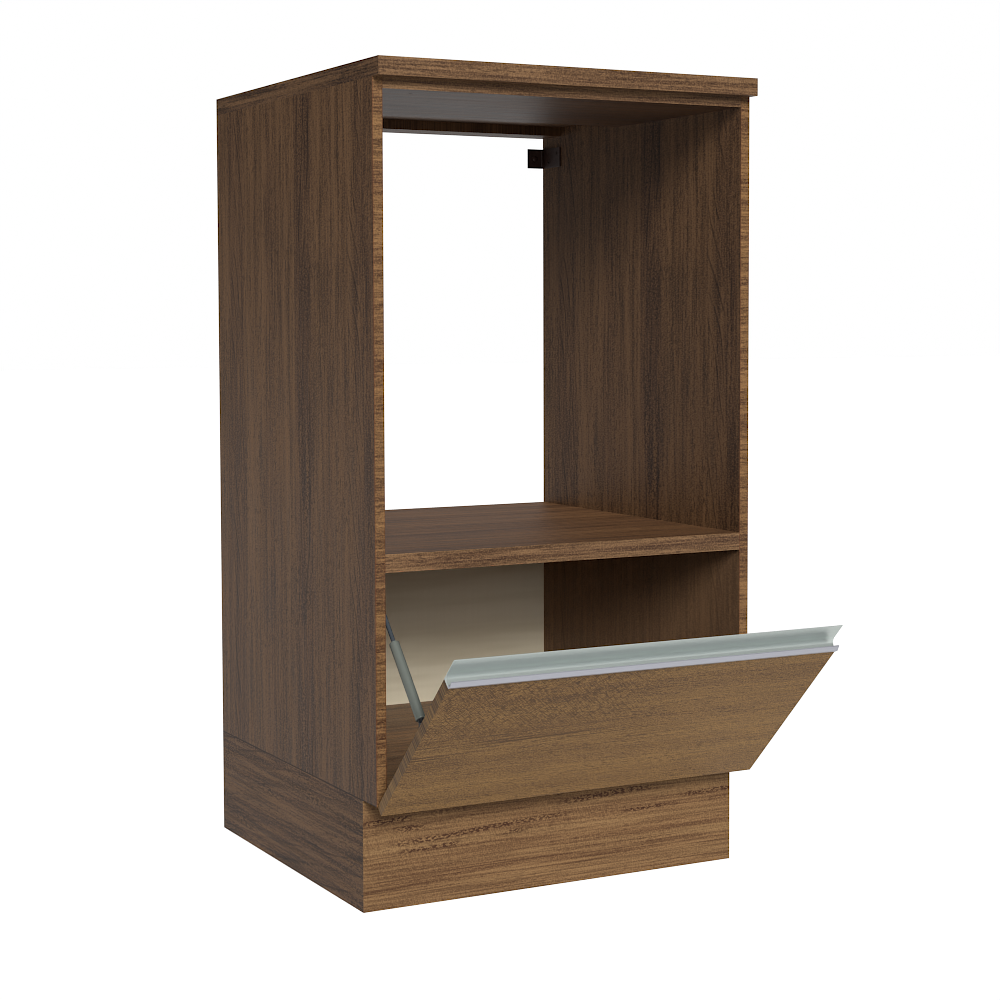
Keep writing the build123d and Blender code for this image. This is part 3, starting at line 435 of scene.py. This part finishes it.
def side_band_face(t):
    """The sides' front edges: the decor runs across them, in fine dark lines and clusters of dashes."""
    x, y, z = t.xyz()
    tone = (lin(97, 70, 44), lin(123, 91, 57), lin(89, 62, 41), lin(44, 24, 14))
    col, height, fibre = decor(t, x, z, 8.0, tone=tone, band_scale=14.0, rings=(60.0, 0.4, 10.0, 8.0, 0.0), fine=(30.0, 380.0, 0.32),
                               lines=(12.0, 130.0, 0.24), speck=(380.0, 420.0, 0.18), pores=(80.0, 380.0, 0.4), stitch=(190.0, 330.0, 0.4),
                               hatch=(300.0, 40.0, 0.0), patchy=(4.0, 16.0), spread=0.3)
    # a thin reddish line where the strip meets the board's faces
    edge = t.math("ABSOLUTE", t.sub(t.math("ABSOLUTE", x), 0.2925))
    return t.mix(t.span(edge, 0.0058, 0.0074, 0.0, 0.6), col, lin(84, 42, 22)), height, fibre


M["side_band"] = board("side_band_decor", side_band_face, everywhere, core=False)


def plinth_face(t):
    x, y, z = t.xyz()
    nx = t.math("GREATER_THAN", t.math("ABSOLUTE", t.normal()[0]), 0.5)
    col, height, fibre = decor(t, x, z, 9.0, tone=FRONT_TONE, band_scale=40.0, fine=(7.0, 320.0, 0.22), lines=(3.0, 210.0, 0.12),
                               speck=(380.0, 420.0, 0.15), rings=(46.0, 0.4, 1.6, 9.0, 0.2), pores=(80.0, 400.0, 0.32))
    # strings of reddish dashes that climb slowly to the right, in the upper half
    rise = t.sub(z, t.mul(x, 0.035))
    bend = t.noise(t.vec(t.mul(x, 2.2), t.mul(z, 3.0), 15.0), 2.0)
    for middle, seed, width in ((0.116, 161.0, 0.0060), (0.098, 165.0, 0.0050), (0.086, 168.0, 0.0040), (0.130, 171.0, 0.0050)):
        off = t.math("ABSOLUTE", t.sub(t.add(rise, t.mul(t.sub(bend, 0.5), 0.03)), middle))
        run = streaks(t, x, z, 6.0, 8.0, seed, 0.44, 0.56)
        dots = streaks(t, x, z, 190.0, 360.0, seed + 1.0, 0.44, 0.56, 1.0)
        col = t.mix(both(t, t.span(off, width * 0.4, width, 1.0, 0.0), run, dots, 0.8), col, FRONT_TONE[3])
    # long dark and light lines in the lowest part
    low = t.span(z, 0.062, 0.042)
    deep = streaks(t, x, z, 4.5, 300.0, 131.0, 0.53, 0.63, 1.0)
    pale = streaks(t, x, z, 4.5, 300.0, 133.0, 0.53, 0.63, 1.0)
    col = t.mix(both(t, pale, low, 0.3), col, FRONT_TONE[1])
    col = t.mix(both(t, deep, low, 0.42), col, FRONT_TONE[3])
    side = decor(t, y, z, 10.0, tone=SIDE_TONE, band_scale=30.0, fine=(7.0, 300.0, 0.3), lines=(5.0, 110.0, 0.3),
                 speck=(220.0, 480.0, 0.26), rings=(40.0, 0.5, 2.0, 9.0, 0.5), slant=6.0, pores=(60.0, 420.0, 0.5), stitch=(110.0, 340.0, 0.6))
    col = t.mix(nx, col, side[0])
    col = joint_line(t, col, SIDE_TONE[3], t.sub(0.155, z))
    return col, t.lerp(nx, height, side[1]), t.lerp(nx, fibre, side[2])


M["plinth"] = board("plinth_decor", plinth_face, everywhere, core=False, spec=0.12)


def flap_face(t):
    x, y, z = t.xyz()
    off = t.nt.nodes.new("ShaderNodeVectorMath")
    off.operation = "SUBTRACT"
    t.put(off.inputs[0], t.point())
    off.inputs[1].default_value = HINGE
    up = t.dot(off.outputs[0], FLAP_UP)
    # painted light: the flap's tone is lighter than the fronts' tone, standing in for light its downward-tilted face
    # doesn't get
    tone = (lin(124, 93, 54), lin(141, 108, 63), lin(116, 86, 51), lin(54, 33, 18))
    col, height, fibre = decor(t, x, up, 12.0, tone=tone, band_scale=14.0, fine=(14.0, 330.0, 0.20), lines=(2.5, 120.0, 0.05),
                               speck=(380.0, 420.0, 0.26), rings=(12.0, 0.4, 1.2, 5.0, 0.2), pores=(80.0, 400.0, 0.5),
                               hatch=(420.0, 60.0, 0.15), patchy=(6.0, 40.0), spread=0.45)
    # saw marks: two sets of short slanted scratches that cross, strongest in the upper left
    where = t.mul(t.span(x, -0.06, 0.12, 1.0, 0.08), t.span(up, 0.13, 0.21, 0.06, 1.0))
    for slope, seed in ((1.0, 101.0), (-0.8, 111.0)):
        c = t.add(x, t.mul(up, slope))
        d = t.sub(up, t.mul(x, slope))
        cut = streaks(t, d, c, 34.0, 390.0, seed, 0.52, 0.60, 1.0)
        col = t.mix(both(t, cut, where, 0.52), col, tone[3])
    # a few long dark lines across the middle of the left half
    mid = t.mul(t.span(x, -0.02, 0.14, 1.0, 0.35), t.mul(t.span(up, 0.10, 0.125), t.span(up, 0.150, 0.180, 1.0, 0.0)))
    deep = streaks(t, x, t.sub(up, t.mul(x, 0.03)), 4.0, 330.0, 121.0, 0.52, 0.62, 1.5)
    col = t.mix(both(t, deep, mid, 0.6), col, tone[3])
    return col, height, fibre


M["flap"] = board("flap_decor_painted_light", flap_face, everywhere, core=False, spec=0.18)


# ---------------------------------------------------------------- other materials
def hardboard(name):
    """Cream painted front with faint roller marks; brown pressed fibre on the rear and the edges."""
    t = Tree(name)
    x, y, z = t.xyz()
    roll = t.noise(t.vec(t.mul(x, 3.0), 2.0, t.mul(z, 34.0)), 2.0, 0.5)
    comb = t.noise(t.vec(t.mul(x, 140.0), 3.0, t.mul(z, 2.0)), 2.0, 0.6)
    cream = t.mix(t.span(roll, 0.35, 0.7, 0.0, 0.7), lin(234, 224, 198), lin(212, 200, 170))
    cream = t.mix(t.span(comb, 0.40, 0.7, 0.0, 0.06), cream, lin(206, 194, 164))
    fibre = t.noise(t.vec(t.mul(x, 260.0), 5.0, t.mul(z, 220.0)), 5.0, 0.7)
    mesh = t.noise(t.vec(t.mul(x, 900.0), 8.0, t.mul(z, 900.0)), 2.0, 0.5)
    brown = t.mix(t.span(fibre, 0.35, 0.68), lin(98, 66, 40), lin(136, 98, 62))
    brown = t.mix(t.span(mesh, 0.5, 0.7, 0.0, 0.5), brown, lin(70, 44, 25))
    front = t.math("LESS_THAN", t.normal()[1], -0.5)
    col = t.mix(front, brown, cream)
    rough = t.lerp(front, 0.8, 0.5)
    n = t.bump(t.lerp(front, t.add(fibre, mesh), t.mul(roll, 0.4)), 0.25, 0.0006)
    return t.done(col, rough, n)


def metal(name, colour, rough, grain=(40.0, 40.0, 40.0), spread=0.12, vary=0.12, metallic=1.0, bump=0.08, spec=0.5):
    t = Tree(name)
    x, y, z = t.xyz()
    n1 = t.noise(t.vec(t.mul(x, grain[0]), t.mul(y, grain[1]), t.mul(z, grain[2])), 4.0, 0.6)
    n2 = t.noise(t.vec(t.mul(x, 35.0), t.mul(y, 35.0), t.mul(z, 35.0)), 2.0)
    dark = tuple(c * (1.0 - vary) for c in colour[:3]) + (1.0,)
    col = t.mix(t.span(n2, 0.35, 0.7), colour, dark)
    r = t.span(t.add(t.mul(n1, 0.6), t.mul(n2, 0.4)), 0.3, 0.7, rough - spread / 2, rough + spread / 2)
    return t.done(col, r, t.bump(n1, bump, 0.0004), metallic=metallic, specular=spec)


def plastic(name, colour, rough, vary=0.15, grain=500.0, bump=0.1, spec=0.5):
    t = Tree(name)
    x, y, z = t.xyz()
    n1 = t.noise(t.vec(t.mul(x, grain), t.mul(y, grain), t.mul(z, grain)), 2.0)
    n2 = t.noise(t.vec(t.mul(x, 45.0), t.mul(y, 45.0), t.mul(z, 45.0)), 2.0)
    dark = tuple(c * (1.0 - vary) for c in colour[:3]) + (1.0,)
    col = t.mix(t.span(n2, 0.35, 0.7), colour, dark)
    return t.done(col, t.span(n1, 0.3, 0.7, rough - 0.06, rough + 0.06), t.bump(n1, bump, 0.0003), specular=spec)


M["back"] = hardboard("back_board_paint")


def anodised():
    """The grip's film: brushed along its length, slightly green on the tall fin and violet on the lip."""
    t = Tree("anodised_profile")
    x, y, z = t.xyz()
    off = t.nt.nodes.new("ShaderNodeVectorMath")
    off.operation = "SUBTRACT"
    t.put(off.inputs[0], t.point())
    off.inputs[1].default_value = HINGE
    w = t.dot(off.outputs[0], FLAP_N)
    up = t.dot(off.outputs[0], FLAP_UP)
    brush = t.noise(t.vec(t.mul(x, 4.0), t.mul(w, 320.0), t.mul(up, 320.0)), 1.0, 0.5)
    film = t.mix(t.span(w, -0.0135, -0.0105, 0.0, 1.0), lin(187, 188, 196), lin(205, 213, 208))
    film = t.mix(t.span(brush, 0.35, 0.65, 0.04, 0.0), film, lin(130, 136, 136))
    rough = t.span(brush, 0.3, 0.7, 0.29, 0.30)
    return t.done(film, rough, t.bump(brush, 0.005, 0.00004), metallic=0.75)


M["handle"] = anodised()
M["zinc"] = metal("zinc_plate", lin(190, 192, 196), 0.34, grain=(300.0, 300.0, 300.0), vary=0.2)
M["hinge"] = metal("hinge_plate", lin(176, 176, 178), 0.36, grain=(250.0, 250.0, 250.0), vary=0.18)
M["strut_paint"] = metal("strut_tube_paint", lin(114, 119, 112), 0.36, grain=(700.0, 700.0, 700.0), metallic=0.3, vary=0.06, bump=0.05)
M["rod"] = metal("strut_rod_steel", lin(84, 90, 96), 0.22, grain=(700.0, 60.0, 60.0), vary=0.1, spread=0.06, metallic=0.45)
M["guide"] = plastic("strut_guide_plastic", lin(20, 20, 22), 0.45)
M["socket"] = plastic("strut_socket_plastic", lin(26, 26, 28), 0.42)
M["bracket"] = plastic("bracket_coating", lin(54, 33, 26), 0.46)
M["dark_screw"] = metal("blackened_screw", lin(58, 44, 38), 0.5, grain=(300.0, 300.0, 300.0), metallic=0.4)
M["cam_cover"] = plastic("cam_cover_plastic", lin(66, 46, 33), 0.55)
M["bumper"] = plastic("bumper_rubber", lin(205, 208, 210), 0.35)


def small_wood(name, light, dark, along):
    t = Tree(name)
    x, y, z = t.xyz()
    s = [260.0, 260.0, 260.0]
    s[along] = 14.0
    n1 = t.noise(t.vec(t.mul(x, s[0]), t.mul(y, s[1]), t.mul(z, s[2])), 3.0, 0.6)
    col = t.mix(t.span(n1, 0.35, 0.68), light, dark)
    return t.done(col, t.span(n1, 0.3, 0.7, 0.6, 0.75), t.bump(n1, 0.25, 0.0005))


M["block"] = small_wood("pine_block", lin(206, 170, 122), lin(168, 126, 80), 2)
M["dowel"] = small_wood("beech_dowel", lin(205, 165, 120), lin(178, 134, 90), 2)

USE = {
    "worktop": ["worktop"],
    "front_band": ["worktop_edge_band", "top_rail_edge_band", "oven_shelf_edge_band", "bottom_edge_band"],
    "side_band": ["side_edge_band_left", "side_edge_band_right"],
    "side": ["side_panel_left", "side_panel_right"],
    "flat": ["oven_shelf"],
    "floor": ["bottom_panel"],
    "rail": ["top_rail_front", "top_rail_back"],
    "plinth": ["plinth_front", "plinth_back", "plinth_side_left", "plinth_side_right"],
    "flap": ["flap_panel", "flap_edge_bands"],
    "back": ["back_panel"],
    "handle": ["handle_profile"],
    "zinc": ["back_panel_nails", "plinth_screws", "floor_screws", "cam_bolts",
             "hinge_screws_cabinet", "hinge_screws_flap", "ball_stud_side", "ball_stud_flap", "strut_side_plate",
             "strut_plate_screws", "strut_flap_bracket", "strut_bracket_screws", "stud_nut"],
    "cam_cover": ["cam_discs"],
    "dark_screw": ["worktop_screws", "wall_bracket_screws"],
    "hinge": ["hinge_leaves_cabinet", "hinge_leaves_flap", "hinge_pins"],
    "strut_paint": ["strut_tube"],
    "rod": ["strut_rod"],
    "guide": ["strut_rod_guide", "strut_piston"],
    "socket": ["strut_socket_upper", "strut_socket_lower"],
    "bracket": ["wall_bracket_left", "wall_bracket_right"],
    "bumper": ["flap_bumpers"],
    "block": ["plinth_corner_blocks"],
    "dowel": ["dowels"],
}
used = set()
for key, names in USE.items():
    for n in names:
        o = NODES[n]
        if not o.material_slots:
            o.data.materials.append(M[key])
        for s in o.material_slots:
            s.material = M[key]
        used.add(n)
missing = sorted(set(NODES) - used)
if missing:
    raise RuntimeError("no material for " + ", ".join(missing))


# ---------------------------------------------------------------- caps in the wall brackets' holes
def turned(name, place, profile, steps=28):
    """A small turned piece; profile is (radius, distance forwards) from its rim to its middle."""
    mesh = bmesh.new()
    rows = []
    for r, f in profile:
        if r == 0.0:
            rows.append([mesh.verts.new((place[0], place[1] - f, place[2]))])
        else:
            rows.append([mesh.verts.new((place[0] + r * math.cos(2 * math.pi * k / steps), place[1] - f,
                                         place[2] + r * math.sin(2 * math.pi * k / steps))) for k in range(steps)])
    for one, two in zip(rows, rows[1:]):
        for k in range(steps):
            n = (k + 1) % steps
            corners = [one[k % len(one)], one[n % len(one)], two[n % len(two)], two[k % len(two)]]
            mesh.faces.new(list(dict.fromkeys(corners)))
    bmesh.ops.recalc_face_normals(mesh, faces=mesh.faces)
    data = bpy.data.meshes.new(name)
    mesh.to_mesh(data)
    mesh.free()
    data.materials.append(M["bracket"])
    for f in data.polygons:
        f.use_smooth = True
    o = bpy.data.objects.new(name, data)
    scene.collection.objects.link(o)
    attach(o, "root")
    return o


for tag, sign in (("left", -1.0), ("right", 1.0)):
    lo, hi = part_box("wall_bracket_" + tag)
    front = hi[1] - 0.0025
    turned("wall_cap_" + tag, (sign * 0.268, front, (lo[2] + hi[2]) / 2),
           [(0.0, -0.0020), (0.0026, -0.0020), (0.0026, 0.0001), (0.0046, 0.0001), (0.0046, 0.0006), (0.0040, 0.0011),
            (0.0024, 0.0014), (0.0, 0.0015)])


# ---------------------------------------------------------------- floor and light
world = bpy.data.worlds.new("studio")
scene.world = world
world.use_nodes = True
wt = world.node_tree
wt.nodes.clear()
w_out = wt.nodes.new("ShaderNodeOutputWorld")
w_mix = wt.nodes.new("ShaderNodeMixShader")
w_path = wt.nodes.new("ShaderNodeLightPath")
w_seen = wt.nodes.new("ShaderNodeBackground")
w_seen.inputs[0].default_value = (1, 1, 1, 1)
w_seen.inputs[1].default_value = 1.0
w_lit = wt.nodes.new("ShaderNodeBackground")
w_co = wt.nodes.new("ShaderNodeTexCoord")
w_sep = wt.nodes.new("ShaderNodeSeparateXYZ")
w_ramp = wt.nodes.new("ShaderNodeValToRGB")
w_map = wt.nodes.new("ShaderNodeMapRange")
wt.links.new(w_co.outputs["Generated"], w_sep.inputs[0])
wt.links.new(w_sep.outputs[2], w_map.inputs["Value"])
w_map.inputs["From Min"].default_value = -1.0
w_map.inputs["From Max"].default_value = 1.0
wt.links.new(w_map.outputs[0], w_ramp.inputs[0])
els = w_ramp.color_ramp.elements
els[0].position, els[0].color = 0.40, (0.19, 0.19, 0.19, 1)
els[1].position, els[1].color = 0.75, (0.03, 0.03, 0.032, 1)
e = els.new(0.5)
e.color = (0.18, 0.18, 0.182, 1)
e = els.new(0.58)
e.color = (0.10, 0.10, 0.101, 1)
wt.links.new(w_ramp.outputs[0], w_lit.inputs[0])
w_rear = wt.nodes.new("ShaderNodeMapRange")
wt.links.new(w_sep.outputs[1], w_rear.inputs["Value"])
w_rear.inputs["From Min"].default_value = -0.3
w_rear.inputs["From Max"].default_value = 0.8
w_rear.inputs["To Min"].default_value = 0.95
w_rear.inputs["To Max"].default_value = 0.5
wt.links.new(w_rear.outputs["Result"], w_lit.inputs[1])
wt.links.new(w_path.outputs["Is Camera Ray"], w_mix.inputs[0])
wt.links.new(w_lit.outputs[0], w_mix.inputs[1])
wt.links.new(w_seen.outputs[0], w_mix.inputs[2])
wt.links.new(w_mix.outputs[0], w_out.inputs[0])


def sun(name, towards, strength, angle, colour=(1, 1, 1)):
    """A soft studio light; towards is the direction from the object to the light."""
    d = bpy.data.lights.new(name, "SUN")
    d.energy = strength
    d.angle = math.radians(angle)
    d.color = colour
    o = bpy.data.objects.new(name, d)
    o.rotation_mode = "QUATERNION"
    o.rotation_quaternion = Vector(towards).to_track_quat("Z", "Y")
    o.location = Vector(towards).normalized() * 4.0
    scene.collection.objects.link(o)
    return o


def towards(azimuth, elevation):
    """Azimuth 0 is straight in front of the cabinet, positive to its left."""
    a, e = math.radians(azimuth), math.radians(elevation)
    return (-math.sin(a) * math.cos(e), -math.cos(a) * math.cos(e), math.sin(e))


sun("key", towards(15, 27.5), 3.85, 24)
sun("key_lower", towards(15, 13), 0.5, 18)
sun("back_fill", (0.48, 0.87, 0.9), 0.28, 60)

bm = bmesh.new()
side = 30.0
bm.faces.new([bm.verts.new(p) for p in ((-side, -side, 0), (side, -side, 0), (side, side, 0), (-side, side, 0))])
me = bpy.data.meshes.new("floor")
bm.to_mesh(me)
bm.free()
floor = bpy.data.objects.new("floor", me)
scene.collection.objects.link(floor)
bounce = bpy.data.objects.new("floor_bounce", me.copy())
scene.collection.objects.link(bounce)
gloss = bpy.data.objects.new("floor_gloss", me.copy())
scene.collection.objects.link(gloss)


def paper(name, shade, glow):
    m = bpy.data.materials.new(name)
    m.use_nodes = True
    b = m.node_tree.nodes["Principled BSDF"]
    b.inputs["Base Color"].default_value = (shade, shade, shade, 1)
    b.inputs["Roughness"].default_value = 0.9
    b.inputs["Emission Color"].default_value = (1, 1, 1, 1)
    b.inputs["Emission Strength"].default_value = glow
    m.cycles.emission_sampling = "NONE"
    return m


# the seen floor is blown out to white; two plain ones in its place throw light back up and show in the metal
floor.data.materials.append(paper("floor_paper", 0.8, 0.9))
floor.visible_diffuse = False
floor.visible_glossy = False
floor.visible_shadow = False
bounce.data.materials.append(paper("floor_bounce_paper", 0.8, 0.0))
bounce.visible_camera = False
bounce.visible_glossy = False
gloss.data.materials.append(paper("floor_gloss_paper", 0.2, 0.7))
gloss.visible_camera = False
gloss.visible_diffuse = False
gloss.visible_shadow = False

scene.cycles.filter_width = 1.1
scene.view_settings.view_transform = "Standard"
scene.view_settings.look = "None"
scene.view_settings.exposure = 0.0
scene.view_settings.gamma = 1.0

# the picture is finished with a light sharpening, as the reference is
scene.use_nodes = True
ct = scene.node_tree
ct.nodes.clear()
c_in = ct.nodes.new("CompositorNodeRLayers")
c_sharp = ct.nodes.new("CompositorNodeFilter")
c_sharp.filter_type = "SHARPEN"
c_sharp.inputs[0].default_value = 0.02
c_out = ct.nodes.new("CompositorNodeComposite")
ct.links.new(c_in.outputs["Image"], c_sharp.inputs["Image"])
ct.links.new(c_sharp.outputs[0], c_out.inputs["Image"])
